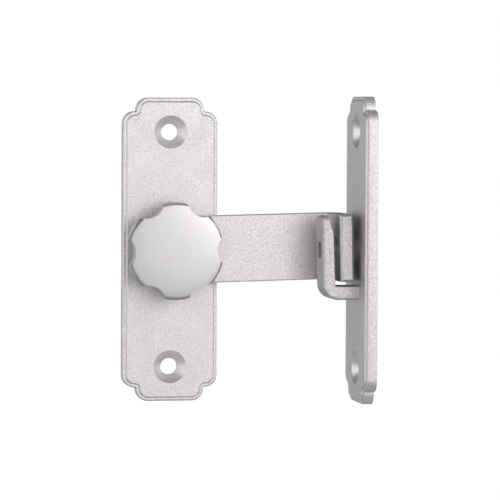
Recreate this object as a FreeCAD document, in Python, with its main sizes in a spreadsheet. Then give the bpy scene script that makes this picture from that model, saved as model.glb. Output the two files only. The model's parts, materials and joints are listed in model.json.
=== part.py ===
import FreeCAD, Part
import math
import os

import Sketcher

# Right angle door latch. +Z is up, +X runs from the pivot to the keeper and -Y faces the viewer.
# The origin is where the pivot axis meets the back of the base plate, the surface of the door.

V = FreeCAD.Vector

# Driving dimensions in millimetres; the rest angle is in degrees.
SIZES = [
    ("plate_height", 100.0, "height of both plates"),
    ("plate_width", 31.6, "width of both plates"),
    ("rim_thickness", 3.5, "thickness of a plate at its low rim"),
    ("field_raise", 0.4, "how far the raised field stands above the rim"),
    ("rim_width", 1.3, "from the outline to the raised field"),
    ("corner_notch", 4.5, "step of a notched corner, from both sides"),
    ("corner_round", 4.1, "radius of the two lobes of a corner"),
    ("corner_cove", 0.35, "radius in the step of a corner"),
    ("rim_edge", 0.5, "rounding of the outline, in front"),
    ("field_edge", 0.2, "rounding of the raised field"),
    ("screw_inset", 11.3, "from the end of a plate to the middle of its mounting hole"),
    ("screw_hole", 5.5, "diameter of a mounting hole"),
    ("countersink", 11.1, "diameter of a mounting countersink"),
    ("recess_diameter", 15.0, "recess for the pivot stack, in the back of the base plate"),
    ("recess_depth", 2.5, "depth of that recess"),
    ("bush_outside", 12.0, "diameter of the bush in the plate"),
    ("flange_diameter", 17.0, "diameter of the bush's flange"),
    ("flange_thickness", 0.6, "thickness of the bush's flange"),
    ("spindle_diameter", 9.0, "round journal of the spindle"),
    ("spindle_square", 6.4, "square of the spindle, across flats"),
    ("square_corner", 0.5, "rounding of the square's corners"),
    ("square_depth", 4.2, "how far the square reaches into the knob"),
    ("running_clearance", 0.05, "radial, between the journal and its bush"),
    ("loose_clearance", 0.1, "radial, between a loose washer and what it sits round"),
    ("fit_clearance", 0.03, "radial, between pieces that are fixed together"),
    ("thrust_diameter", 19.0, "diameter of the thrust washer"),
    ("thrust_thickness", 0.6, "thickness of the thrust washer"),
    ("wave_thickness", 0.3, "strip thickness of the wave washer"),
    ("wave_height", 0.1, "rise of a wave above the middle of the strip"),
    ("wave_diameter", 14.0, "outside diameter of the wave washer"),
    ("retainer_diameter", 13.6, "diameter of the retaining washer"),
    ("retainer_thickness", 0.5, "thickness of the retaining washer"),
    ("tooth_thickness", 0.35, "thickness of the lock washer"),
    ("tooth_diameter", 8.4, "diameter of the lock washer"),
    ("tooth_gap", 1.05, "diameter of the round gap between two teeth"),
    ("screw_diameter", 4.0, "thread of the knob screw"),
    ("screw_head", 8.0, "head diameter of the knob screw"),
    ("screw_head_height", 0.95, "head height of the knob screw"),
    ("screw_head_round", 0.3, "rounding of that head"),
    ("screw_grip", 2.6, "thread of the knob screw past the end of the square"),
    ("key_width", 2.5, "hexagon of the knob screw, across flats"),
    ("key_depth", 0.7, "depth of that hexagon"),
    ("arm_height", 22.0, "height of the bar"),
    ("arm_thickness", 4.5, "thickness of the bar"),
    ("arm_reach", 56.35, "from the pivot to the outer face of the tongue"),
    ("arm_bend", 2.4, "inner radius of the bend"),
    ("arm_edge", 0.45, "rounding along the bar"),
    ("tongue_edge", 0.75, "bevel round the end of the tongue"),
    ("tongue_overhang", 1.9, "how far the tongue ends in front of the hook"),
    ("lock_hole", 5.6, "hole in the hook's wall"),
    ("tongue_hole", 7.2, "hole in the tongue, behind that one"),
    ("tongue_hole_drop", 0.65, "how far its middle is below that one's with the arm level"),
    ("rest_angle", 1.5, "the arm stands this far above level"),
    ("knob_radius", 15.95, "radius over the lobes"),
    ("knob_shoulder", 0.75, "width and height of the bevel round the face"),
    ("knob_thickness", 6.5, "thickness of the knob's head"),
    ("knob_crown", 0.25, "rise of the face at its middle"),
    ("crown_round", 260.0, "radius of the crowned face, halfway out"),
    ("knob_edge", 0.5, "rounding behind the head"),
    ("hub_radius", 10.4, "collar between the head and the arm"),
    ("hub_height", 1.9, "height of that collar"),
    ("notch_radius", 5.9, "radius of a finger notch"),
    ("notch_offset", 19.3, "from the axis to the middle of a notch"),
    ("notch_edge", 0.25, "rounding of the notches' front edges"),
    ("keeper_setback", 6.3, "how far the keeper plate starts in front of the door"),
    ("keeper_rise", 0.6, "how far the keeper plate sits above the base plate"),
    ("keeper_gap", 2.05, "between the tongue and the keeper plate"),
    ("hook_gap", 1.3, "between the tongue and the hook, at the floor"),
    ("floor_gap", 0.1, "under the tongue when the arm is level"),
    ("hook_width", 11.0, "width of the hook"),
    ("hook_wall", 3.85, "thickness of the hook's wall"),
    ("hook_floor", 4.4, "thickness of the hook's floor"),
    ("hook_depth", 23.0, "height of the wall above the floor"),
    ("hook_spread", 0.5, "the slot is this much wider at its top"),
    ("hook_bend", 4.9, "outer radius between wall and floor"),
    ("hook_corner", 0.8, "inner radius between wall and floor"),
    ("lead_height", 6.0, "height of the lead-in at the top of the wall"),
    ("lead_width", 1.9, "how much of the wall the lead-in takes away"),
    ("lead_round", 11.0, "radius where the lead-in meets the wall"),
    ("hook_top_round", 2.4, "rounding of the wall's two upper corners"),
    ("hook_crest", 1.7, "rounding of the wall's outer upper edge"),
    ("hook_edge", 0.8, "rounding along the outside of the hook"),
    ("slot_edge", 0.3, "rounding along its slot"),
    ("stud_diameter", 3.0, "thread of a hook screw"),
    ("stud_spacing", 6.4, "between the two hook screws"),
    ("stud_head", 5.6, "head diameter of a hook screw"),
    ("stud_grip", 6.5, "thread of a hook screw in the hook"),
    ("drive_width", 1.6, "hexagon of a hook screw, across flats"),
    ("drive_depth", 1.0, "depth of that hexagon"),
]

FLAT_COUNT = 6
NOTCH_COUNT = 6
WAVE_COUNT = 3
TOOTH_COUNT = 10
POINTS_PER_WAVE = 12
SNUG = 1e-4    # two places nearer than this, in mm, are one
FAIRLY = 1e-3    # the same, where one of them is worked out from a curve
PLANES = {"x": "YZ_Plane", "y": "XZ_Plane", "z": "XY_Plane"}

doc = FreeCAD.newDocument("door_latch")
sheet = doc.addObject("Spreadsheet::Sheet", "Sizes")
for row, (alias, value, meaning) in enumerate(SIZES, start=1):
    sheet.set(f"A{row}", alias)
    sheet.set(f"B{row}", str(value))
    sheet.set(f"C{row}", meaning)
    sheet.setAlias(f"B{row}", alias)
doc.recompute()


class Dim:
    """A length as an expression on the sheet, together with its value."""

    def __init__(self, text, value):
        self.text = text
        self.value = float(value)

    def join(self, other, sign, value):
        return Dim(f"({self.text} {sign} {other.text})", value)

    def __add__(self, other):
        other = as_dim(other)
        return self.join(other, "+", self.value + other.value)

    def __sub__(self, other):
        other = as_dim(other)
        return self.join(other, "-", self.value - other.value)

    def __mul__(self, other):
        other = as_dim(other)
        return self.join(other, "*", self.value * other.value)

    def __truediv__(self, other):
        other = as_dim(other)
        return self.join(other, "/", self.value / other.value)

    def __neg__(self):
        return Dim(f"(-1 * {self.text})", -self.value)


def as_dim(value):
    return value if isinstance(value, Dim) else Dim(str(value), value)


def size(alias):
    return Dim(f"Sizes.{alias}", sheet.get(alias))


ZERO = as_dim(0)

# Depths along -Y, counted from the door: the pivot stack, one piece on the next.
plate_front = size("rim_thickness") + size("field_raise")
wave_front = size("recess_depth")
wave_back = wave_front - size("wave_thickness") - size("wave_height") * 2
retainer_back = wave_back - size("retainer_thickness")
tooth_back = retainer_back - size("tooth_thickness")
head_back = tooth_back - size("screw_head_height")
flange_front = plate_front + size("flange_thickness")
arm_back = flange_front + size("thrust_thickness")
arm_front = arm_back + size("arm_thickness")
head_rear = arm_front + size("hub_height")
knob_front = head_rear + size("knob_thickness")
square_end = arm_front + size("square_depth")
screw_height = size("plate_height") / 2 - size("screw_inset")

# The keeper, from where the tongue passes.
keeper_face = size("arm_reach") + size("keeper_gap")
keeper_forward = size("keeper_setback") + size("plate_width") / 2
tongue_end = keeper_forward + size("hook_width") / 2 + size("tongue_overhang")
slot_width = size("keeper_gap") + size("arm_thickness") + size("hook_gap")
floor_level = -(size("arm_height") / 2) - size("floor_gap") - size("keeper_rise")
floor_middle = floor_level - size("hook_floor") / 2


def bind(thing, path, dim):
    thing.setExpression(path, dim.text)


def new_body(label):
    body = doc.addObject("PartDesign::Body", label)
    body.Label = label
    return body


def plane_of(body, role):
    return next(item for item in body.Origin.OriginFeatures if item.Role == role)


def new_sketch(body, name, axis, depth=ZERO):
    """A sketch square to an axis, depth away from the origin along the way the sketch faces."""
    sketch = body.newObject("Sketcher::SketchObject", name)
    sketch.AttachmentSupport = [(plane_of(body, PLANES[axis]), "")]
    sketch.MapMode = "FlatFace"
    bind(sketch, ".AttachmentOffset.Base.z", depth)
    return sketch


def pin(sketch, geometry, end, x, y, name):
    """Hold one point of a sketch at x, y."""
    for axis, kind, dim in ((-2, "DistanceX", x), (-1, "DistanceY", y)):
        if dim is ZERO:
            sketch.addConstraint(Sketcher.Constraint("PointOnObject", geometry, end, axis))
            continue
        number = sketch.addConstraint(
            Sketcher.Constraint(kind, -1, 1, geometry, end, dim.value))
        label = f"{name}_{kind[-1].lower()}"
        sketch.renameConstraint(number, label)
        bind(sketch, f"Constraints.{label}", dim)


def hold_radius(sketch, geometry, radius, name):
    number = sketch.addConstraint(Sketcher.Constraint("Radius", geometry, radius.value))
    sketch.renameConstraint(number, name)
    bind(sketch, f"Constraints.{name}", radius)


def draw_circle(sketch, x, y, radius, name="circle"):
    middle = V(x.value, y.value, 0)
    circle = sketch.addGeometry(Part.Circle(middle, V(0, 0, 1), radius.value))
    pin(sketch, circle, 3, x, y, name)
    hold_radius(sketch, circle, radius, f"{name}_radius")


def round_corner(before, corner, after, radius):
    """Where a rounded corner starts and ends, its arc, and whether the arc runs along the loop."""
    back = (before - corner).normalize()
    ahead = (after - corner).normalize()
    half = back.getAngle(ahead) / 2
    run = radius / math.tan(half)
    middle = corner + (back + ahead).normalize() * (radius / math.sin(half))
    start = corner + back * run
    end = corner + ahead * run
    along = back.cross(ahead).z < 0
    first, last = (start, end) if along else (end, start)
    angles = [math.atan2(point.y - middle.y, point.x - middle.x) for point in (first, last)]
    circle = Part.Circle(middle, V(0, 0, 1), radius)
    return start, end, Part.ArcOfCircle(circle, angles[0], angles[1]), along


def draw_loop(sketch, corners, name="corner"):
    """A closed outline through corners, counted anticlockwise: each has x, y and a radius or None."""
    count = len(corners)
    points = [V(x.value, y.value, 0) for x, y, radius in corners]
    arrive, leave, arcs = list(points), list(points), [None] * count
    for i, (x, y, radius) in enumerate(corners):
        if radius is not None:
            after = points[(i + 1) % count]
            rounded = round_corner(points[i - 1], points[i], after, radius.value)
            arrive[i], leave[i], arcs[i] = rounded[0], rounded[1], rounded[2:]
    lines = []
    for i in range(count):
        lines.append(sketch.addGeometry(Part.LineSegment(leave[i], arrive[(i + 1) % count])))
    for i, (x, y, radius) in enumerate(corners):
        before, after = lines[i - 1], lines[i]
        label = f"{name}{i}"
        if radius is None:
            sketch.addConstraint(Sketcher.Constraint("Coincident", before, 2, after, 1))
            pin(sketch, after, 1, x, y, label)
            continue
        shape, along = arcs[i]
        arc = sketch.addGeometry(shape)
        first, last = (1, 2) if along else (2, 1)
        sketch.addConstraint(Sketcher.Constraint("Tangent", before, 2, arc, first))
        sketch.addConstraint(Sketcher.Constraint("Tangent", after, 1, arc, last))
        hold_radius(sketch, arc, radius, f"{label}_radius")
        point = sketch.addGeometry(Part.Point(points[i]), True)
        sketch.addConstraint(Sketcher.Constraint("PointOnObject", point, 1, before))
        sketch.addConstraint(Sketcher.Constraint("PointOnObject", point, 1, after))
        pin(sketch, point, 1, x, y, label)


def rectangle(half_width, half_height, radius=None):
    return [
        (-half_width, -half_height, radius),
        (half_width, -half_height, radius),
        (half_width, half_height, radius),
        (-half_width, half_height, radius),
    ]


def hexagon(x, y, across):
    """Six corners of a hexagon, its flats above and below."""
    side = across / 2 / math.cos(math.pi / FLAT_COUNT)
    corners = []
    for i in range(FLAT_COUNT):
        turn = 2 * math.pi * i / FLAT_COUNT
        up = side * math.sin(turn) if i % 3 else ZERO
        corners.append((x + side * math.cos(turn), y + up, None))
    return corners


def finish(feature):
    """Recompute one feature and give back its solid's volume."""
    doc.recompute()
    if feature.Shape.isNull() or not feature.Shape.isValid():
        raise RuntimeError(f"{feature.Label} has no valid shape")
    return feature.Shape.Volume


def pad(body, sketch, name, length, both_ways=False):
    feature = body.newObject("PartDesign::Pad", name)
    feature.Profile = sketch
    bind(feature, "Length", length)
    feature.SideType = "Symmetric" if both_ways else "One side"
    finish(feature)
    return feature


def pocket(body, sketch, name, length=None, both_ways=False, forward=False):
    """Cut behind the sketch, or in front of it when forward is set; right through with no length."""
    before = body.Tip.Shape.Volume
    feature = body.newObject("PartDesign::Pocket", name)
    feature.Profile = sketch
    if length is None:
        feature.Type = "ThroughAll"
    else:
        bind(feature, "Length", length)
    feature.SideType = "Symmetric" if both_ways else "One side"
    feature.Reversed = forward
    if finish(feature) >= before:
        raise RuntimeError(f"{name} of {body.Label} cuts nothing")
    return feature


def revolve(body, sketch, name, axis):
    feature = body.newObject("PartDesign::Revolution", name)
    feature.Profile = sketch
    feature.ReferenceAxis = (sketch, [axis])
    feature.Angle = 360
    finish(feature)
    return feature


def edges_where(body, test):
    """Names of the edges of the body so far whose ends and middle pass the test."""
    names = []
    for number, edge in enumerate(body.Tip.Shape.Edges, start=1):
        first, last = edge.ParameterRange
        points = [edge.valueAt(first + (last - first) * part) for part in (0, 0.5, 1)]
        if all(test(point) for point in points):
            names.append(f"Edge{number}")
    return names


def dress(body, kind, name, dim, test):
    """Round or bevel the edges that pass the test."""
    names = edges_where(body, test)
    if not names:
        raise RuntimeError(f"{name} of {body.Label} finds no edge")
    feature = body.newObject(f"PartDesign::{kind}", name)
    feature.Base = (feature.BaseFeature or body.Tip, names)
    bind(feature, "Radius" if kind == "Fillet" else "Size", dim)
    finish(feature)
    return feature


def near(value, dim, slack=SNUG):
    return abs(value - dim.value) < slack


def round_off(body, name, axis, out, top, radius, sides):
    """Cut away what stands outside a rounding, between an upright side at out and the top."""
    for side in sides:
        label = f"{name}_{'left' if side < 0 else 'right'}"
        waste = new_sketch(body, f"{label}_outline", axis)
        corners = [
            ((out - radius * 2) * side, top, None),
            (out * side, top, radius),
            (out * side, top - radius * 2, None),
            ((out + radius) * side, top - radius * 2, None),
            ((out + radius) * side, top + radius, None),
            ((out - radius * 2) * side, top + radius, None),
        ]
        draw_loop(waste, corners if side > 0 else corners[::-1])
        pocket(body, waste, label, both_ways=True)


def place(body, x, y, z):
    for path, dim in (("x", x), ("y", y), ("z", z)):
        bind(body, f".Placement.Base.{path}", dim)


def raise_arm(body):
    """Turn a piece that moves with the arm about the pivot, to where the arm rests."""
    body.Placement = FreeCAD.Placement(V(0, 0, 0), FreeCAD.Rotation(V(0, -1, 0), 1))
    body.setExpression(".Placement.Rotation.Angle", size("rest_angle").text)


def notched_outline(inset):
    """The outline of a plate, inset all round: lobes meet in a small step at each corner."""
    half_width = size("plate_width") / 2 - inset
    half_height = size("plate_height") / 2 - inset
    notch = size("corner_notch")
    lobe = size("corner_round") - inset
    cove = size("corner_cove") + inset
    corners = []
    for side, end in ((1, -1), (1, 1), (-1, 1), (-1, -1)):
        along_side = (half_width * side, (half_height - notch) * end, lobe)
        step = ((half_width - notch) * side, (half_height - notch) * end, cove)
        along_end = ((half_width - notch) * side, half_height * end, lobe)
        turn = [along_side, step, along_end]
        corners += turn if side * end > 0 else turn[::-1]
    return corners


def make_plate(label):
    """A plate with a low rim, a raised field and two countersunk holes, its back at y = 0."""
    body = new_body(label)
    outline = new_sketch(body, f"{label}_outline", "y")
    draw_loop(outline, notched_outline(ZERO))
    pad(body, outline, f"{label}_slab", size("rim_thickness"))
    front = size("rim_thickness")
    dress(body, "Fillet", f"{label}_rim_edge", size("rim_edge"), lambda p: near(-p.y, front))
    field = new_sketch(body, f"{label}_field", "y", front)
    draw_loop(field, notched_outline(size("rim_width")))
    pad(body, field, f"{label}_raise", size("field_raise"))
    dress(body, "Fillet", f"{label}_field_edge", size("field_edge"),
          lambda p: near(-p.y, plate_front))
    holes = new_sketch(body, f"{label}_holes", "y")
    radius = size("screw_hole") / 2
    for end, name in ((1, "upper"), (-1, "lower")):
        draw_circle(holes, ZERO, screw_height * end, radius, name)
    pocket(body, holes, f"{label}_screw_holes", forward=True)

    def round_hole(p):
        away = math.hypot(p.x, abs(p.z) - screw_height.value)
        return near(-p.y, plate_front) and near(away, radius)

    dress(body, "Chamfer", f"{label}_countersinks",
          (size("countersink") - size("screw_hole")) / 2, round_hole)
    return body


def make_base_plate():
    body = make_plate("base_plate")
    recess = new_sketch(body, "base_recess_outline", "y")
    draw_circle(recess, ZERO, ZERO, size("recess_diameter") / 2)
    pocket(body, recess, "base_recess", size("recess_depth"), forward=True)
    bore = new_sketch(body, "base_bore_outline", "y")
    draw_circle(bore, ZERO, ZERO, size("bush_outside") / 2 + size("fit_clearance"))
    pocket(body, bore, "base_bore", forward=True)
    return body


def make_keeper_plate():
    """The second plate, turned to face the pivot, with two screw holes for the hook."""
    body = make_plate("keeper_plate")
    holes = new_sketch(body, "keeper_hook_holes", "y")
    radius = size("stud_diameter") / 2 + size("fit_clearance")
    for side, name in ((1, "near"), (-1, "far")):
        draw_circle(holes, size("stud_spacing") / 2 * side, floor_middle, radius, name)
    pocket(body, holes, "keeper_hook_bores", forward=True)
    beside = size("stud_spacing") / 2

    def back_hole(p):
        away = math.hypot(abs(p.x) - beside.value, p.z - floor_middle.value)
        return near(p.y, ZERO) and near(away, radius)

    dress(body, "Chamfer", "keeper_hook_countersinks",
          (size("stud_head") - size("stud_diameter")) / 2, back_hole)
    body.Placement = FreeCAD.Placement(V(0, 0, 0), FreeCAD.Rotation(V(0, 0, 1), -90))
    place(body, keeper_face + plate_front, -keeper_forward, size("keeper_rise"))
    return body


def make_keeper_hook():
    """A floor that butts on the keeper plate and an upright wall, cast in one and bent at the foot."""
    body = new_body("keeper_hook")
    top = floor_level + size("hook_depth")
    wall = slot_width + size("hook_spread")
    bottom = floor_level - size("hook_floor")
    outside = wall + size("hook_wall")
    lead = wall + size("lead_width")
    profile = new_sketch(body, "hook_profile", "y")
    draw_loop(profile, [
        (ZERO, bottom, None),
        (ZERO, floor_level, None),
        (-slot_width, floor_level, size("hook_corner")),
        (-wall, top - size("lead_height"), size("lead_round")),
        (-lead, top, None),
        (-outside, top, None),
        (-slot_width - size("hook_wall"), bottom, size("hook_bend")),
    ])
    pad(body, profile, "hook_strip", size("hook_width"), both_ways=True)
    half = size("hook_width") / 2

    def along(p):
        on_seat = near(p.x, ZERO) and near(p.z, floor_middle)
        return near(abs(p.y), half) and not near(p.z, top) and not on_seat

    def in_slot(p):
        return along(p) and p.z > floor_level.value - SNUG and p.x > -lead.value - SNUG

    def outside_edge(p):
        return along(p) and (p.z < floor_level.value - SNUG or p.x < -lead.value - SNUG)

    dress(body, "Fillet", "hook_edges", size("hook_edge"), outside_edge)
    dress(body, "Fillet", "hook_slot_edges", size("slot_edge"), in_slot)
    round_off(body, "hook_top_corners", "x", half, top, size("hook_top_round"), (1, -1))
    round_off(body, "hook_crest", "y", outside, top, size("hook_crest"), (-1,))
    hole = new_sketch(body, "hook_hole_outline", "x")
    draw_circle(hole, ZERO, ZERO, size("lock_hole") / 2)
    pocket(body, hole, "hook_lock_hole", both_ways=True)
    bores = new_sketch(body, "hook_bore_outline", "x")
    radius = size("stud_diameter") / 2 + size("fit_clearance")
    for side, name in ((1, "near"), (-1, "far")):
        draw_circle(bores, size("stud_spacing") / 2 * side, floor_middle, radius, name)
    depth = size("stud_grip") + size("fit_clearance")
    pocket(body, bores, "hook_bores", depth)
    place(body, keeper_face, -keeper_forward, size("keeper_rise"))
    return body


def make_hook_screws():
    """Two countersunk screws, their heads flush in the back of the keeper plate."""
    body = new_body("hook_screws")
    body.AllowCompound = True
    radius = size("stud_diameter") / 2
    head = size("stud_head") / 2 - size("fit_clearance")
    sink = head - radius
    profile = new_sketch(body, "hook_screw_profile", "z")
    back = plate_front - size("fit_clearance")
    draw_loop(profile, [
        (-size("stud_grip"), ZERO, None),
        (back, ZERO, None),
        (back, head, None),
        (back - sink, radius, None),
        (-size("stud_grip"), radius, None),
    ])
    turned = revolve(body, profile, "hook_screw_turned", "H_Axis")
    socket = new_sketch(body, "hook_screw_hexagon", "x", back)
    draw_loop(socket, hexagon(ZERO, ZERO, size("drive_width")))
    cut = pocket(body, socket, "hook_screw_drive", size("drive_depth"))
    pair = body.newObject("PartDesign::LinearPattern", "hook_screw_pair")
    pair.Originals = [turned, cut]
    pair.Direction = (profile, ["V_Axis"])
    bind(pair, "Length", size("stud_spacing"))
    pair.Occurrences = 2
    body.Tip = pair
    finish(pair)
    start = -keeper_forward - size("stud_spacing") / 2
    place(body, keeper_face, start, size("keeper_rise") + floor_middle)
    return body


def make_arm():
    """The bar: a round end on the pivot, a straight run and a tongue bent to the front."""
    body = new_body("latch_arm")
    half = size("arm_height") / 2
    end = new_sketch(body, "arm_end_outline", "y", arm_back)
    draw_circle(end, ZERO, ZERO, half)
    pad(body, end, "arm_round_end", size("arm_thickness"))
    inner = size("arm_reach") - size("arm_thickness")
    outer_bend = size("arm_bend") + size("arm_thickness")
    profile = new_sketch(body, "arm_profile", "z")
    draw_loop(profile, [
        (ZERO, -arm_front, None),
        (inner, -arm_front, size("arm_bend")),
        (inner, -tongue_end, None),
        (size("arm_reach"), -tongue_end, None),
        (size("arm_reach"), -arm_back, outer_bend),
        (ZERO, -arm_back, None),
    ])
    pad(body, profile, "arm_bar", size("arm_height"), both_ways=True)
    dress(body, "Chamfer", "tongue_bevel", size("tongue_edge"), lambda p: near(-p.y, tongue_end))

    bevel_start = (tongue_end - size("tongue_edge")).value

    def long_edge(p):
        on_end = p.x < SNUG and near(math.hypot(p.x, p.z), half)
        return -p.y < bevel_start + SNUG and (near(abs(p.z), half) or on_end)

    dress(body, "Fillet", "arm_edges", size("arm_edge"), long_edge)
    square = new_sketch(body, "arm_square_outline", "y")
    draw_loop(square, rectangle(*[size("spindle_square") / 2 + size("fit_clearance")] * 2))
    pocket(body, square, "arm_square", forward=True)
    hole = new_sketch(body, "tongue_hole_outline", "x")
    level = size("keeper_rise") - size("tongue_hole_drop")
    draw_circle(hole, -keeper_forward, level, size("tongue_hole") / 2)
    pocket(body, hole, "tongue_lock_hole", forward=True)
    raise_arm(body)
    return body


def make_knob():
    body = new_body("knob")
    shoulder = size("knob_shoulder")
    rim = size("knob_radius")
    face = knob_front - size("knob_crown")
    profile = new_sketch(body, "knob_profile", "z")
    draw_loop(profile, [
        (ZERO, -knob_front, None),
        ((rim - shoulder) / 2, -(knob_front - size("knob_crown") / 4), size("crown_round")),
        (rim - shoulder, -face, None),
        (rim, -(face - shoulder), None),
        (rim, -head_rear, size("knob_edge")),
        (size("hub_radius"), -head_rear, None),
        (size("hub_radius"), -arm_front, None),
        (ZERO, -arm_front, None),
    ][::-1])
    revolve(body, profile, "knob_turned", "V_Axis")
    notch = new_sketch(body, "knob_notch_outline", "y", head_rear)
    draw_circle(notch, size("notch_offset"), ZERO, size("notch_radius"))
    cut = pocket(body, notch, "knob_notch", size("knob_thickness"), forward=True)
    pattern = body.newObject("PartDesign::PolarPattern", "knob_notches")
    pattern.Originals = [cut]
    pattern.Axis = (notch, ["N_Axis"])
    pattern.Angle = 360
    pattern.Occurrences = NOTCH_COUNT
    body.Tip = pattern
    finish(pattern)
    offset = size("notch_offset").value
    radius = size("notch_radius")
    step = 2 * math.pi / NOTCH_COUNT
    bevel_start = (face - shoulder).value

    def notch_front(p):
        turn = round(math.atan2(p.z, p.x) / step) * step
        away = math.hypot(p.x - offset * math.cos(turn), p.z - offset * math.sin(turn))
        return near(away, radius, FAIRLY) and -p.y > bevel_start - FAIRLY

    dress(body, "Fillet", "knob_notch_edges", size("notch_edge"), notch_front)
    socket = new_sketch(body, "knob_socket_outline", "y", arm_front)
    draw_loop(socket, rectangle(*[size("spindle_square") / 2 + size("fit_clearance")] * 2))
    depth = size("square_depth") + size("fit_clearance")
    pocket(body, socket, "knob_socket", depth, forward=True)
    thread = new_sketch(body, "knob_thread_outline", "y", square_end)
    draw_circle(thread, ZERO, ZERO, size("screw_diameter") / 2 + size("fit_clearance"))
    depth = size("screw_grip") + size("fit_clearance") * 2
    pocket(body, thread, "knob_thread", depth, forward=True)
    raise_arm(body)
    return body


def make_spindle():
    """A hollow journal that carries on as a square through the arm and into the knob."""
    body = new_body("spindle")
    journal = new_sketch(body, "spindle_journal_outline", "y", wave_back)
    draw_circle(journal, ZERO, ZERO, size("spindle_diameter") / 2)
    pad(body, journal, "spindle_journal", arm_back - wave_back)
    square = new_sketch(body, "spindle_square_outline", "y", arm_back)
    half = size("spindle_square") / 2
    draw_loop(square, rectangle(half, half, size("square_corner")))
    pad(body, square, "spindle_key", square_end - arm_back)
    bore = new_sketch(body, "spindle_bore_outline", "y")
    draw_circle(bore, ZERO, ZERO, size("screw_diameter") / 2 + size("running_clearance"))
    pocket(body, bore, "spindle_bore", forward=True)
    raise_arm(body)
    return body


def make_ring(label, back, thickness, outside, inside):
    """A flat ring about the pivot axis; back is how far its rear face is from the door."""
    body = new_body(label)
    ring = new_sketch(body, f"{label}_outline", "y", back)
    draw_circle(ring, ZERO, ZERO, outside / 2, "outside")
    draw_circle(ring, ZERO, ZERO, inside / 2, "inside")
    pad(body, ring, f"{label}_disc", thickness)
    return body


def make_pivot_bush():
    bore = size("spindle_diameter") + size("running_clearance") * 2
    length = plate_front - size("recess_depth")
    body = make_ring("pivot_bush", size("recess_depth"), length, size("bush_outside"), bore)
    flange = new_sketch(body, "bush_flange_outline", "y", plate_front)
    draw_circle(flange, ZERO, ZERO, size("flange_diameter") / 2, "outside")
    draw_circle(flange, ZERO, ZERO, bore / 2, "inside")
    pad(body, flange, "bush_flange", size("flange_thickness"))
    return body


def make_thrust_washer():
    bore = size("spindle_diameter") + size("loose_clearance") * 2
    return make_ring("thrust_washer", flange_front, size("thrust_thickness"),
                     size("thrust_diameter"), bore)


def make_retaining_washer():
    bore = size("screw_diameter") + size("running_clearance") * 2
    body = make_ring("retaining_washer", retainer_back, size("retainer_thickness"),
                     size("retainer_diameter"), bore)
    raise_arm(body)
    return body


def make_lock_washer():
    """A washer whose rim is cut into teeth."""
    bore = size("screw_diameter") + size("running_clearance") * 2
    body = make_ring("lock_washer", tooth_back, size("tooth_thickness"),
                     size("tooth_diameter"), bore)
    slit = new_sketch(body, "lock_washer_slit", "y", tooth_back)
    draw_circle(slit, size("tooth_diameter") / 2, ZERO, size("tooth_gap") / 2)
    cut = pocket(body, slit, "lock_washer_gap", size("tooth_thickness"), forward=True)
    pattern = body.newObject("PartDesign::PolarPattern", "lock_washer_teeth")
    pattern.Originals = [cut]
    pattern.Axis = (slit, ["N_Axis"])
    pattern.Angle = 360
    pattern.Occurrences = TOOTH_COUNT
    body.Tip = pattern
    finish(pattern)
    raise_arm(body)
    return body


def make_knob_screw():
    body = new_body("knob_screw")
    radius = size("screw_diameter") / 2
    head = size("screw_head") / 2
    profile = new_sketch(body, "knob_screw_profile", "z")
    draw_loop(profile, [
        (ZERO, -head_back, None),
        (ZERO, -(square_end + size("screw_grip")), None),
        (radius, -(square_end + size("screw_grip")), None),
        (radius, -tooth_back, None),
        (head, -tooth_back, None),
        (head, -head_back, size("screw_head_round")),
    ])
    revolve(body, profile, "knob_screw_turned", "V_Axis")
    socket = new_sketch(body, "knob_screw_hexagon", "y", head_back)
    draw_loop(socket, hexagon(ZERO, ZERO, size("key_width")))
    pocket(body, socket, "knob_screw_drive", size("key_depth"), forward=True)
    raise_arm(body)
    return body


def make_wave_washer():
    """A ring whose strip rises and falls three times between the web of the plate and the retainer."""
    inner = (size("spindle_diameter") / 2 + size("loose_clearance")).value
    outer = (size("wave_diameter") / 2).value
    rise = size("wave_height").value
    thick = size("wave_thickness").value
    steps = WAVE_COUNT * POINTS_PER_WAVE

    def waved_edge(radius, lift):
        points = []
        for i in range(steps):
            turn = 2 * math.pi * i / steps
            depth = wave_back.value + rise * (1 + math.cos(WAVE_COUNT * turn)) + lift
            points.append(V(radius * math.cos(turn), -depth, radius * math.sin(turn)))
        curve = Part.BSplineCurve()
        curve.interpolate(points, PeriodicFlag=True)
        return curve.toShape()

    back = [waved_edge(inner, 0), waved_edge(outer, 0)]
    front = [waved_edge(inner, thick), waved_edge(outer, thick)]
    faces = [
        Part.makeRuledSurface(back[0], back[1]),
        Part.makeRuledSurface(front[0], front[1]),
        Part.makeRuledSurface(back[0], front[0]),
        Part.makeRuledSurface(back[1], front[1]),
    ]
    solid = Part.makeSolid(Part.makeShell(faces))
    solid.fix(SNUG, SNUG, SNUG)
    if solid.Volume < 0:
        solid.reverse()
    washer = doc.addObject("Part::Feature", "wave_washer")
    washer.Label = "wave_washer"
    washer.Shape = solid
    washer.Placement = FreeCAD.Placement()
    return washer


MAKERS = (
    make_base_plate,
    make_pivot_bush,
    make_thrust_washer,
    make_wave_washer,
    make_spindle,
    make_retaining_washer,
    make_lock_washer,
    make_knob_screw,
    make_arm,
    make_knob,
    make_keeper_plate,
    make_keeper_hook,
    make_hook_screws,
)


def check_document():
    """Stop on any object that failed."""
    doc.recompute()
    for item in doc.Objects:
        if "Invalid" in item.State or "Error" in item.State:
            raise RuntimeError(f"{item.Label} failed: {item.State}")


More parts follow.
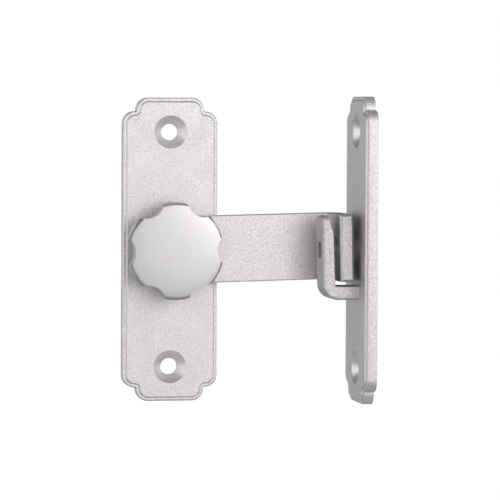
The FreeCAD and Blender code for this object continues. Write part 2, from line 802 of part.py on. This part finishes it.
def main():
    pieces = [make() for make in MAKERS]
    check_document()
    os.makedirs("parts", exist_ok=True)
    for piece in pieces:
        shape = piece.Shape
        if shape.isNull() or not shape.isValid():
            raise RuntimeError(f"{piece.Label} has no valid shape")
        shape.exportStep(f"parts/{piece.Label}.step")
        box = shape.BoundBox
        print(piece.Label, len(shape.Solids), round(shape.Volume, 2),
              [round(v, 2) for v in (box.XMin, box.YMin, box.ZMin, box.XMax, box.YMax, box.ZMax)])


main()
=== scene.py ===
import json
import math

import bpy
from mathutils import Matrix, Vector


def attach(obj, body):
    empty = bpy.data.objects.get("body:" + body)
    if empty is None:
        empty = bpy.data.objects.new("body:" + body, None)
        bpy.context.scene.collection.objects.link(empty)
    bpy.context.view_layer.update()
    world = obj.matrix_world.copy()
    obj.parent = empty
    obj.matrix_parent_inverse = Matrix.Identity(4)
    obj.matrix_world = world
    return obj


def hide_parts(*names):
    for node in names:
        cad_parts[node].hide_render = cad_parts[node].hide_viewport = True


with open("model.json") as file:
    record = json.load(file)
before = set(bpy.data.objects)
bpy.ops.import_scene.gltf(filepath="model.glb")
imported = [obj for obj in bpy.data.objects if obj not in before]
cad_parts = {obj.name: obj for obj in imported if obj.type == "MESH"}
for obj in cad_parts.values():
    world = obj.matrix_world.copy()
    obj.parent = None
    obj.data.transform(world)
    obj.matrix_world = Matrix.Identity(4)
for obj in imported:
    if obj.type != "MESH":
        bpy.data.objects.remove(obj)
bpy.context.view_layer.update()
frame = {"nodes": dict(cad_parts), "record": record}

# Right angle door latch. +Z is up, +X runs from the pivot to the keeper, -Y faces the viewer.
# The scene is in metres. The sizes below are in millimetres, measured from the pivot axis and from
# the surface of the door, and are those of the solids. Only the sections of the rim and of the
# knob's face are finer here.

MM = 0.001
scene = bpy.context.scene

# Both plates. The field steps go from the rim to the raised field: how far in, and how far up.
PLATE_HEIGHT = 100.0
PLATE_WIDTH = 31.6
PLATE_THICKNESS = 3.9
RIM_THICKNESS = 3.35
RIM_EDGE = 0.5
FIELD_STEPS = ((0.57, 0), (0.04, -0.04), (0.33, 0.48), (0.1, 0.11))
CORNER_NOTCH = 4.5
CORNER_ROUND = 4.1
CORNER_COVE = 0.35
SCREW_HEIGHT = 38.7
SCREW_RADIUS = 2.75
COUNTERSINK_RADIUS = 5.55
COUNTERSINK_LIP = 0.15

# The base plate's recess and bore for the pivot.
RECESS_RADIUS = 7.5
RECESS_DEPTH = 2.5
BORE_RADIUS = 6.03

# Where the keeper plate stands, and its two holes for the hook's screws.
KEEPER_BACK = 62.3
KEEPER_FORWARD = 22.1
KEEPER_RISE = 0.6
HOOK_SCREW_SIDE = 3.2
HOOK_SCREW_HEIGHT = -13.9
HOOK_SCREW_RADIUS = 1.53
HOOK_SCREW_HEAD = 2.83

# The knob. Its face is made of rings: the share of the outline's radius, and how far in front of
# the wall's end. Everything on the arm rests this many degrees above level.
KNOB_RADIUS = 15.95
KNOB_BACK = 11.5
KNOB_WALL_END = 15.58
KNOB_FRONT = 18.0
KNOB_FACE = (
    (0.957, 1.86), (0.952, 1.94), (0.945, 1.98), (0.93, 2.015), (0.9, 2.065), (0.85, 2.125),
    (0.78, 2.19), (0.69, 2.255), (0.58, 2.315), (0.45, 2.365), (0.3, 2.4), (0.12, 2.42))
HUB_RADIUS = 10.4
HUB_BACK = 9.6
HUB_WELD = 0.5
NOTCH_RADIUS = 5.9
NOTCH_OFFSET = 19.3
NOTCH_COUNT = 6
SQUARE_HALF = 3.23
SQUARE_END = 13.83
KNOB_SCREW_RADIUS = 2.03
KNOB_SCREW_END = 16.46
REST_ANGLE = 1.5

# Cutters start behind the face that they cut and end in front of the piece.
CUT_MARGIN = 1.0
CUT_END = 5.0
HAIR = 0.01
MERGE_REACH = 0.0005

# Patterns of the finishes, in spots per metre: one number, or one for each axis.
PEBBLES = (3300, 2600, 1800)
PEBBLE_SLANT = 38
GRAINS = 6500
CLOUDS = 160
DRILL_MARKS = (900, 5200, 900)
BRUSH_STROKES = (4200, 900, 110)
BRUSH_SCRATCHES = (11000, 2000, 60)
TURNED_RINGS = 1500
TURNED_STAINS = 700
GROUND_SCUFFS = 1800
OIL_FILMS = 420
SPRING_PITS = 2600
BRONZE_PORES = 2400
NYLON_HAZE = 900
PAPER_CLOUDS = 30

# Painted shade: the arm's base colour darkens from one depth to the other, in metres along Y,
# towards the tongue that sits in the hook.
ARM_PAINTED_SHADE_DEPTHS = (-0.011, -0.027)


def grey(level, warmth=0.0):
    """A nearly neutral metal colour; warmth lifts the red a little."""
    return (level * (1 + warmth), level, level * (1 + warmth / 4), 1.0)


class Finish:
    """A material and the few node steps that its pattern needs."""

    def __init__(self, name, color, metallic=1.0, roughness=0.35):
        self.material = bpy.data.materials.new(name)
        self.material.use_nodes = True
        self.nodes = self.material.node_tree.nodes
        self.links = self.material.node_tree.links
        self.shader = self.nodes["Principled BSDF"]
        self.shader.inputs["Base Color"].default_value = color
        self.shader.inputs["Metallic"].default_value = metallic
        self.shader.inputs["Roughness"].default_value = roughness
        self.place = self.nodes.new("ShaderNodeTexCoord").outputs["Object"]

    def mapped(self, vector, way, value):
        """Coordinates after one step of a mapping: its rotation or its scale."""
        node = self.nodes.new("ShaderNodeMapping")
        node.inputs[way].default_value = value
        self.links.new(vector, node.inputs["Vector"])
        return node.outputs["Vector"]

    def stretched(self, scale, slant=0):
        """Object coordinates times a scale for each axis, turned first about the pivot's axis."""
        vector = self.place
        if slant:
            vector = self.mapped(vector, "Rotation", (0, math.radians(slant), 0))
        return self.mapped(vector, "Scale", scale)

    def noise(self, scale, detail=2.0, roughness=0.5, distortion=0.0, vector=None):
        node = self.nodes.new("ShaderNodeTexNoise")
        node.inputs["Scale"].default_value = scale
        node.inputs["Detail"].default_value = detail
        node.inputs["Roughness"].default_value = roughness
        node.inputs["Distortion"].default_value = distortion
        self.links.new(vector or self.place, node.inputs["Vector"])
        return node.outputs["Fac"]

    def levels(self, value, low, high, start=0.3, stop=0.7):
        """Map a pattern from start..stop to low..high."""
        node = self.nodes.new("ShaderNodeMapRange")
        node.inputs["From Min"].default_value = start
        node.inputs["From Max"].default_value = stop
        node.inputs["To Min"].default_value = low
        node.inputs["To Max"].default_value = high
        self.links.new(value, node.inputs["Value"])
        return node.outputs["Result"]

    def added(self, first, second, share=1.0):
        """The first pattern plus a share of the second."""
        node = self.nodes.new("ShaderNodeMath")
        node.operation = "MULTIPLY_ADD"
        self.links.new(second, node.inputs[0])
        node.inputs[1].default_value = share
        self.links.new(first, node.inputs[2])
        return node.outputs["Value"]

    def along(self, axis):
        """One of the object coordinates."""
        node = self.nodes.new("ShaderNodeSeparateXYZ")
        self.links.new(self.place, node.inputs["Vector"])
        return node.outputs[axis]

    def tint(self, value, dark, light, start=0.3, stop=0.7):
        """Colour the surface from dark to light by a pattern."""
        node = self.nodes.new("ShaderNodeValToRGB")
        node.color_ramp.elements[0].position = start
        node.color_ramp.elements[0].color = dark
        node.color_ramp.elements[1].position = stop
        node.color_ramp.elements[1].color = light
        self.links.new(value, node.inputs["Fac"])
        self.links.new(node.outputs["Color"], self.shader.inputs["Base Color"])

    def shade(self, value):
        """Darken the tint so far by a factor."""
        node = self.nodes.new("ShaderNodeMix")
        node.data_type = "RGBA"
        node.blend_type = "MULTIPLY"
        node.inputs["Factor"].default_value = 1.0
        socket = self.shader.inputs["Base Color"]
        self.links.new(socket.links[0].from_socket, node.inputs["A"])
        self.links.new(value, node.inputs["B"])
        self.links.new(node.outputs["Result"], socket)

    def roughen(self, value, low, high):
        """Set the roughness from low to high by a pattern."""
        self.links.new(self.levels(value, low, high), self.shader.inputs["Roughness"])

    def bump(self, height, depth, strength=1.0):
        """Raise the surface by a pattern, to a depth in millimetres."""
        node = self.nodes.new("ShaderNodeBump")
        node.inputs["Distance"].default_value = depth * MM
        node.inputs["Strength"].default_value = strength
        self.links.new(height, node.inputs["Height"])
        self.links.new(node.outputs["Normal"], self.shader.inputs["Normal"])


def blasted_steel(name, level=0.636, painted_shade_level=None, contrast=1.0):
    """Satin stainless steel with the fine, slightly slanting pebbled skin of a blasted casting.

    With a painted shade level, the base colour darkens from the arm's front to the end of the
    tongue: painted shade where the tongue sits in the hook.
    """
    finish = Finish(name, grey(level, 0.035))
    pebble = finish.noise(1.0, detail=1.5, roughness=0.55, distortion=0.6,
                          vector=finish.stretched(PEBBLES, PEBBLE_SLANT))
    grain = finish.noise(GRAINS, detail=1.0)
    cloud = finish.noise(CLOUDS, detail=3.0)
    skin = finish.added(pebble, grain, 0.4)
    pattern = finish.added(skin, cloud, 0.2)
    dark, light = level * (1 - 0.24 * contrast), level * (1 + 0.21 * contrast)
    finish.tint(pattern, grey(dark, 0.04), grey(light, 0.03), start=0.55, stop=1.05)
    if painted_shade_level:
        # painted shade: darken the base colour along Y, towards the tongue's end in the hook
        finish.shade(finish.levels(finish.along("Y"), 1.0, painted_shade_level / level, *ARM_PAINTED_SHADE_DEPTHS))
    finish.roughen(cloud, 0.44, 0.54)
    finish.bump(skin, 0.07, 0.7 * contrast)
    return finish.material


def cut_steel(name, level=0.69):
    """Bright smooth steel, as the countersinking drill leaves it."""
    finish = Finish(name, grey(level, 0.035))
    mark = finish.noise(1.0, detail=2.0, vector=finish.stretched(DRILL_MARKS))
    finish.tint(mark, grey(level * 0.95, 0.035), grey(level * 1.04, 0.03))
    finish.roughen(mark, 0.35, 0.42)
    finish.bump(mark, 0.008, 0.4)
    return finish.material


def brushed_steel(name, level=0.47):
    """Polished steel brushed straight up and down."""
    finish = Finish(name, grey(level, 0.03))
    stroke = finish.noise(1.0, detail=4.0, roughness=0.65, vector=finish.stretched(BRUSH_STROKES))
    scratch = finish.noise(1.0, detail=2.0, vector=finish.stretched(BRUSH_SCRATCHES))
    finish.tint(stroke, grey(level * 0.97, 0.03), grey(level * 1.025, 0.025))
    finish.roughen(scratch, 0.27, 0.35)
    finish.bump(finish.added(stroke, scratch, 0.5), 0.012, 0.3)
    return finish.material


def turned_steel(name, level=0.6):
    """Machined steel: fine rings about the pivot's axis."""
    finish = Finish(name, grey(level))
    rings = finish.nodes.new("ShaderNodeTexWave")
    rings.wave_type = "RINGS"
    rings.rings_direction = "Y"
    rings.inputs["Scale"].default_value = TURNED_RINGS
    rings.inputs["Distortion"].default_value = 1.5
    finish.links.new(finish.place, rings.inputs["Vector"])
    finish.tint(finish.noise(TURNED_STAINS, detail=3.0), grey(level * 0.9), grey(level * 1.05))
    finish.roughen(rings.outputs["Fac"], 0.26, 0.36)
    finish.bump(rings.outputs["Fac"], 0.01, 0.4)
    return finish.material


def ground_steel(name, level=0.6):
    """Fine-ground steel without rings, for the hook's screws, which lie off the pivot's axis."""
    finish = Finish(name, grey(level))
    scuff = finish.noise(GROUND_SCUFFS, detail=3.0)
    finish.tint(scuff, grey(level * 0.9), grey(level * 1.05))
    finish.roughen(scuff, 0.3, 0.4)
    finish.bump(scuff, 0.01, 0.3)
    return finish.material


def spring_steel(name):
    """Tempered strip: dark, with a faint oil film."""
    finish = Finish(name, grey(0.33))
    film = finish.noise(OIL_FILMS, detail=4.0)
    finish.tint(film, (0.24, 0.23, 0.25, 1), (0.4, 0.38, 0.36, 1))
    finish.roughen(film, 0.25, 0.4)
    finish.bump(finish.noise(SPRING_PITS), 0.01, 0.4)
    return finish.material


def bronze(name):
    """Porous bearing bronze."""
    finish = Finish(name, (0.62, 0.44, 0.22, 1))
    pores = finish.noise(BRONZE_PORES, detail=3.0)
    finish.tint(pores, (0.5, 0.34, 0.17, 1), (0.68, 0.5, 0.26, 1))
    finish.roughen(pores, 0.3, 0.45)
    finish.bump(pores, 0.02, 0.4)
    return finish.material


def nylon(name):
    """Undyed nylon."""
    finish = Finish(name, (0.83, 0.81, 0.75, 1), metallic=0.0)
    haze = finish.noise(NYLON_HAZE, detail=3.0)
    finish.tint(haze, (0.78, 0.76, 0.7, 1), (0.86, 0.84, 0.79, 1))
    finish.roughen(haze, 0.42, 0.55)
    finish.bump(haze, 0.02, 0.3)
    return finish.material


plate_steel = blasted_steel("plate_blasted_steel")
# the arm's second level is painted shade that darkens the tongue's base colour
arm_steel = blasted_steel("arm_blasted_steel", level=0.641, painted_shade_level=0.488, contrast=1.3)
hook_steel = blasted_steel("hook_blasted_steel", level=0.522, contrast=1.4)
mouth_steel = cut_steel("countersink_cut_steel")
knob_steel = brushed_steel("knob_brushed_steel")
FINISHES = {
    "plate_steel": plate_steel,
    "arm_steel": arm_steel,
    "hook_steel": hook_steel,
    "knob_steel": knob_steel,
    "screw_steel": turned_steel("screw_turned_steel"),
    "spring_steel": spring_steel("tempered_spring_steel"),
    "bush_bronze": bronze("bush_bronze_metal"),
    "washer_nylon": nylon("natural_nylon"),
}
OWN_FINISHES = {"hook_screws": ground_steel("hook_screw_ground_steel")}

for row in frame["record"]["subparts"]:
    finish = OWN_FINISHES.get(row["node"], FINISHES[row["material_slot"]])
    for holder in frame["nodes"][row["node"]].material_slots:
        holder.material = finish


def near(first, second, reach=0.02):
    return abs(first - second) < reach


def faces_front(normal):
    return normal.y < -0.99


def select_only(*pieces):
    """Object mode, with these pieces selected and the first one active."""
    if bpy.context.object and bpy.context.object.mode == "EDIT":
        bpy.ops.object.mode_set(mode="OBJECT")
    bpy.ops.object.select_all(action="DESELECT")
    for piece in pieces:
        piece.select_set(True)
    bpy.context.view_layer.objects.active = pieces[0]


def settle(piece):
    """Put the piece's place into its mesh."""
    select_only(piece)
    bpy.ops.object.transform_apply(location=True, rotation=True, scale=True)
    return piece


def name_piece(piece, name):
    piece.name = piece.data.name = name


def add_block(low, high):
    """A box between two corners."""
    bpy.ops.object.select_all(action="DESELECT")
    middle = [(a + b) / 2 * MM for a, b in zip(low, high)]
    bpy.ops.mesh.primitive_cube_add(size=1, location=middle)
    block = bpy.context.object
    block.scale = [(b - a) * MM for a, b in zip(low, high)]
    return settle(block)


def add_round(radius, back, front, x=0.0, z=0.0, front_radius=None, sides=96):
    """A cylinder or cone along -Y, from y = -back to y = -front."""
    bpy.ops.object.select_all(action="DESELECT")
    if front_radius is None:
        front_radius = radius
    bpy.ops.mesh.primitive_cone_add(
        vertices=sides, radius1=radius * MM, radius2=front_radius * MM, depth=(front - back) * MM,
        location=(x * MM, -(back + front) / 2 * MM, z * MM), rotation=(math.radians(90), 0, 0))
    return settle(bpy.context.object)


def combine(piece, tool, operation="DIFFERENCE"):
    """Cut the tool out of the piece, or weld it on."""
    select_only(piece)
    modifier = piece.modifiers.new("shape", "BOOLEAN")
    modifier.operation = operation
    modifier.solver = "EXACT"
    modifier.object = tool
    bpy.ops.object.modifier_apply(modifier=modifier.name)
    bpy.data.objects.remove(tool, do_unlink=True)


def start_picking(piece, mode):
    """Nothing selected in edit mode, then object mode, where single parts can be picked."""
    select_only(piece)
    bpy.ops.object.mode_set(mode="EDIT")
    bpy.ops.mesh.select_mode(type=mode)
    bpy.ops.mesh.select_all(action="DESELECT")
    bpy.ops.object.mode_set(mode="OBJECT")


def pick_edges(piece, wanted):
    """Edit mode, with the edges selected whose two ends are wanted."""
    start_picking(piece, "EDGE")
    points = [vertex.co / MM for vertex in piece.data.vertices]
    for edge in piece.data.edges:
        first, second = edge.vertices
        edge.select = wanted(points[first], points[second])
    bpy.ops.object.mode_set(mode="EDIT")


def pick_faces(piece, wanted):
    """Edit mode, with the faces selected whose middle and normal are wanted."""
    start_picking(piece, "FACE")
    for face in piece.data.polygons:
        face.select = wanted(face.center / MM, face.normal)
    bpy.ops.object.mode_set(mode="EDIT")


def round_edges(piece, wanted, radius, segments):
    pick_edges(piece, wanted)
    bpy.ops.mesh.bevel(offset=radius * MM, segments=segments, affect="EDGES", clamp_overlap=False)
    bpy.ops.object.mode_set(mode="OBJECT")


def turn_further(piece, steps):
    """Grow the front face of a turned piece: each step is a radius and a depth along -Y."""
    depth = max(-vertex.co.y for vertex in piece.data.vertices) / MM
    front = [v.co for v in piece.data.vertices if near(-v.co.y / MM, depth)]
    radius = max(math.hypot(point.x, point.z) for point in front) / MM
    pick_faces(piece, lambda middle, normal: near(-middle.y, depth) and faces_front(normal))
    for next_radius, next_depth in steps:
        bpy.ops.mesh.extrude_region()
        shrink = next_radius / radius
        bpy.ops.transform.resize(value=(shrink, 1, shrink), center_override=(0, 0, 0))
        bpy.ops.transform.translate(value=(0, (depth - next_depth) * MM, 0))
        radius, depth = next_radius, next_depth
    bpy.ops.object.mode_set(mode="OBJECT")


def polish(piece, angle=35):
    """Merge stray points, turn the faces outwards, and shade all but front and back smooth."""
    select_only(piece)
    bpy.ops.object.mode_set(mode="EDIT")
    bpy.ops.mesh.select_all(action="SELECT")
    bpy.ops.mesh.remove_doubles(threshold=MERGE_REACH * MM)
    bpy.ops.mesh.normals_make_consistent(inside=False)
    bpy.ops.object.mode_set(mode="OBJECT")
    bpy.ops.object.shade_smooth_by_angle(angle=math.radians(angle))
    pick_faces(piece, lambda middle, normal: abs(normal.y) > 0.9999)
    bpy.ops.mesh.faces_shade_flat()
    bpy.ops.object.mode_set(mode="OBJECT")


def dress(piece, body, node, slot, *materials):
    """Give the piece its finish and its body, and hide the solid that it stands for."""
    for material in materials:
        piece.data.materials.append(material)
    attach(piece, body)
    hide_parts(node)


def cut_corners(plate):
    """Square notches, each with a rounded lobe on both sides and a cove in its step."""
    half_width, half_height = PLATE_WIDTH / 2, PLATE_HEIGHT / 2
    inner_x, inner_z = half_width - CORNER_NOTCH, half_height - CORNER_NOTCH
    for side in (-1, 1):
        for end in (-1, 1):
            corner = (side * half_width, end * half_height)
            spans = [sorted((c - s * CORNER_NOTCH, c + s)) for c, s in zip(corner, (side, end))]
            low = (spans[0][0], -CUT_END, spans[1][0])
            combine(plate, add_block(low, (spans[0][1], CUT_MARGIN, spans[1][1])))

    def across(a, b):
        return near(a.x, b.x) and near(a.z, b.z) and not near(a.y, b.y)

    def lobe(a, b):
        outside = near(abs(a.x), half_width) and near(abs(a.z), inner_z)
        above = near(abs(a.x), inner_x) and near(abs(a.z), half_height)
        return across(a, b) and (outside or above)

    def step(a, b):
        return across(a, b) and near(abs(a.x), inner_x) and near(abs(a.z), inner_z)

    round_edges(plate, lobe, CORNER_ROUND, segments=14)
    round_edges(plate, step, CORNER_COVE, segments=4)


def raise_field(plate):
    """Round the outline in front, and step up from the low rim to the field."""
    round_edges(
        plate, lambda a, b: near(a.y, -RIM_THICKNESS) and near(b.y, -RIM_THICKNESS), RIM_EDGE,
        segments=5)
    pick_faces(
        plate, lambda middle, normal: near(middle.y, -RIM_THICKNESS) and faces_front(normal))
    for thickness, depth in FIELD_STEPS:
        bpy.ops.mesh.inset(thickness=thickness * MM, depth=depth * MM, use_even_offset=True)
    bpy.ops.object.mode_set(mode="OBJECT")


def countersink(plate):
    """Drill and countersink the two mounting holes; a short lip breaks each cone's edge."""
    mouth = COUNTERSINK_RADIUS - COUNTERSINK_LIP
    front = PLATE_THICKNESS - COUNTERSINK_LIP
    for end in (-1, 1):
        cutter = add_round(SCREW_RADIUS, -CUT_MARGIN, front - mouth + SCREW_RADIUS)
        turn_further(cutter, (
            (mouth, front), (COUNTERSINK_RADIUS, front + HAIR), (COUNTERSINK_RADIUS, CUT_END)))
        cutter.location.z = end * SCREW_HEIGHT * MM
        combine(plate, settle(cutter))


def model_plate(name):
    """A plate upright on the pivot's axis, with its back at y = 0."""
    half_width, half_height = PLATE_WIDTH / 2, PLATE_HEIGHT / 2
    plate = add_block(
        (-half_width, -RIM_THICKNESS, -half_height), (half_width, 0, half_height))
    name_piece(plate, name)
    cut_corners(plate)
    raise_field(plate)
    countersink(plate)
    return plate


def mark_countersinks(plate):
    """The second finish is for the two cones."""
    for face in plate.data.polygons:
        middle = face.center / MM
        away = math.hypot(middle.x, abs(middle.z) - SCREW_HEIGHT)
        slanting = 0.1 < abs(face.normal.y) < 0.9
        face.material_index = int(SCREW_RADIUS < away < COUNTERSINK_RADIUS and slanting)


def model_base_plate():
    plate = model_plate("door_plate")
    combine(plate, add_round(RECESS_RADIUS, -CUT_MARGIN, RECESS_DEPTH))
    combine(plate, add_round(BORE_RADIUS, -CUT_MARGIN, CUT_END))
    polish(plate)
    mark_countersinks(plate)
    return plate


def model_keeper_plate():
    """The same plate with two countersunk holes in its back, turned square to the door."""
    plate = model_plate("frame_plate")
    for side in (-1, 1):
        spot = {"x": side * HOOK_SCREW_SIDE, "z": HOOK_SCREW_HEIGHT}
        combine(plate, add_round(HOOK_SCREW_RADIUS, -CUT_MARGIN, CUT_END, **spot))
        head = add_round(
            HOOK_SCREW_HEAD + CUT_MARGIN, -CUT_MARGIN, HOOK_SCREW_HEAD - HOOK_SCREW_RADIUS,
            front_radius=HOOK_SCREW_RADIUS, **spot)
        combine(plate, head)
    polish(plate)
    mark_countersinks(plate)
    select_only(plate)
    plate.rotation_euler = (0, 0, math.radians(-90))
    plate.location = (KEEPER_BACK * MM, -KEEPER_FORWARD * MM, KEEPER_RISE * MM)
    return settle(plate)


def model_knob():
    """A turned disc with a crowned face, cut by six finger notches, on a round hub."""
    knob = add_round(KNOB_RADIUS, KNOB_BACK, KNOB_WALL_END, sides=240)
    name_piece(knob, "finger_knob")
    turn_further(knob, [(KNOB_RADIUS * share, KNOB_WALL_END + rise) for share, rise in KNOB_FACE])
    for turn in range(NOTCH_COUNT):
        angle = math.tau * turn / NOTCH_COUNT
        x, z = NOTCH_OFFSET * math.cos(angle), NOTCH_OFFSET * math.sin(angle)
        combine(knob, add_round(
            NOTCH_RADIUS, KNOB_BACK - CUT_MARGIN, KNOB_FRONT + CUT_MARGIN, x=x, z=z, sides=128))
    combine(knob, add_round(HUB_RADIUS, HUB_BACK, KNOB_BACK + HUB_WELD, sides=144), "UNION")
    combine(knob, add_block(
        (-SQUARE_HALF, -SQUARE_END, -SQUARE_HALF), (SQUARE_HALF, 0, SQUARE_HALF)))
    combine(knob, add_round(KNOB_SCREW_RADIUS, 0, KNOB_SCREW_END, sides=48))
    polish(knob, angle=32)
    select_only(knob)
    knob.rotation_euler = (0, math.radians(-REST_ANGLE), 0)
    return settle(knob)


dress(model_base_plate(), "plates", "base_plate", "plate_steel", plate_steel, mouth_steel)
dress(model_keeper_plate(), "plates", "keeper_plate", "plate_steel", plate_steel, mouth_steel)
dress(model_knob(), "arm", "knob", "knob_steel", knob_steel)

# The studio, in metres and watts.
OBJECT_MIDDLE = (0.0255, -0.01, 0)


def add_floor(level, size):
    """A square of plain pale paper below the object."""
    bpy.ops.object.select_all(action="DESELECT")
    bpy.ops.mesh.primitive_plane_add(size=size, location=(0.025, 0, level))
    floor = bpy.context.object
    floor.name = "studio_floor"
    paper = Finish("studio_paper", grey(0.7), metallic=0.0, roughness=0.8)
    paper.tint(paper.noise(PAPER_CLOUDS), grey(0.68), grey(0.72))
    floor.data.materials.append(paper.material)


def add_light(name, place, width, height, power):
    """A soft rectangle of light that faces the object and can't be seen itself."""
    data = bpy.data.lights.new(name, "AREA")
    data.shape = "RECTANGLE"
    data.size = width
    data.size_y = height
    data.energy = power
    light = bpy.data.objects.new(name, data)
    light.location = place
    toward = Vector(OBJECT_MIDDLE) - Vector(place)
    light.rotation_euler = toward.to_track_quat("-Z", "Y").to_euler()
    light.visible_camera = False
    scene.collection.objects.link(light)


def add_world(backdrop, front, front_falloff, top):
    """White behind the object, as the camera sees it.

    The metal mirrors a tent that is bright in front, softer above and dark behind.
    """
    world = bpy.data.worlds.new("studio")
    world.use_nodes = True
    nodes = world.node_tree.nodes
    links = world.node_tree.links
    toward = nodes.new("ShaderNodeSeparateXYZ")
    links.new(nodes.new("ShaderNodeTexCoord").outputs["Generated"], toward.inputs["Vector"])
    parts = []
    for axis, end, level, falloff in (("Y", -1, front, front_falloff), ("Z", 1, top, 1.0)):
        share = nodes.new("ShaderNodeMapRange")
        share.inputs["From Max"].default_value = end
        links.new(toward.outputs[axis], share.inputs["Value"])
        fade = nodes.new("ShaderNodeMath")
        fade.operation = "POWER"
        fade.inputs[1].default_value = falloff
        links.new(share.outputs["Result"], fade.inputs[0])
        part = nodes.new("ShaderNodeMath")
        part.operation = "MULTIPLY"
        part.inputs[1].default_value = level
        links.new(fade.outputs["Value"], part.inputs[0])
        parts.append(part.outputs["Value"])
    both = nodes.new("ShaderNodeMath")
    links.new(parts[0], both.inputs[0])
    links.new(parts[1], both.inputs[1])
    mirrored = nodes["Background"]
    mirrored.inputs["Color"].default_value = (1, 0.99, 0.99, 1)
    links.new(both.outputs["Value"], mirrored.inputs["Strength"])
    seen = nodes.new("ShaderNodeBackground")
    seen.inputs["Color"].default_value = (1, 1, 1, 1)
    seen.inputs["Strength"].default_value = backdrop
    path = nodes.new("ShaderNodeLightPath")
    mix = nodes.new("ShaderNodeMixShader")
    links.new(path.outputs["Is Camera Ray"], mix.inputs["Fac"])
    links.new(mirrored.outputs["Background"], mix.inputs[1])
    links.new(seen.outputs["Background"], mix.inputs[2])
    links.new(mix.outputs["Shader"], nodes["World Output"].inputs["Surface"])
    scene.world = world


def add_camera(azimuth, elevation, roll, distance, target, lens):
    """A long lens at the photograph's angle: azimuth is turned from -Y toward +X."""
    turn, lift = math.radians(azimuth), math.radians(elevation)
    away = Vector((
        math.sin(turn) * math.cos(lift), -math.cos(turn) * math.cos(lift), math.sin(lift)))
    data = bpy.data.cameras.new("photo_camera")
    data.lens = lens
    data.sensor_width = 36
    data.clip_start = 0.01
    camera = bpy.data.objects.new("photo_camera", data)
    aim = (-away).to_track_quat("-Z", "Y").to_matrix().to_4x4()
    place = Matrix.Translation(Vector(target) + away * distance)
    camera.matrix_world = place @ aim @ Matrix.Rotation(math.radians(roll), 4, "Z")
    scene.collection.objects.link(camera)
    scene.camera = camera


add_floor(level=-0.16, size=1.0)
add_world(backdrop=1.0, front=1.2, front_falloff=2.1, top=0.4)
add_light("front_lamp", (0.49, -1.42, 0.13), width=0.5, height=0.5, power=1.28)
add_light("high_softbox", (0.75, -1.3, 0.5), width=0.8, height=0.8, power=3.0)
add_light("left_softbox", (-1.29, -0.18, 0.1), width=1.9, height=1.5, power=10.0)
add_light("right_softbox", (1.25, 0.45, 0), width=1.4, height=1.4, power=11.5)
add_light("rear_softbox", (-0.6, 1.35, 0), width=0.7, height=1.3, power=2.35)
add_camera(azimuth=-10.57, elevation=2.56, roll=0.29, distance=1.00386,
           target=(0.02554, -0.01, 0.00009), lens=219.76)
scene.view_settings.view_transform = "Standard"
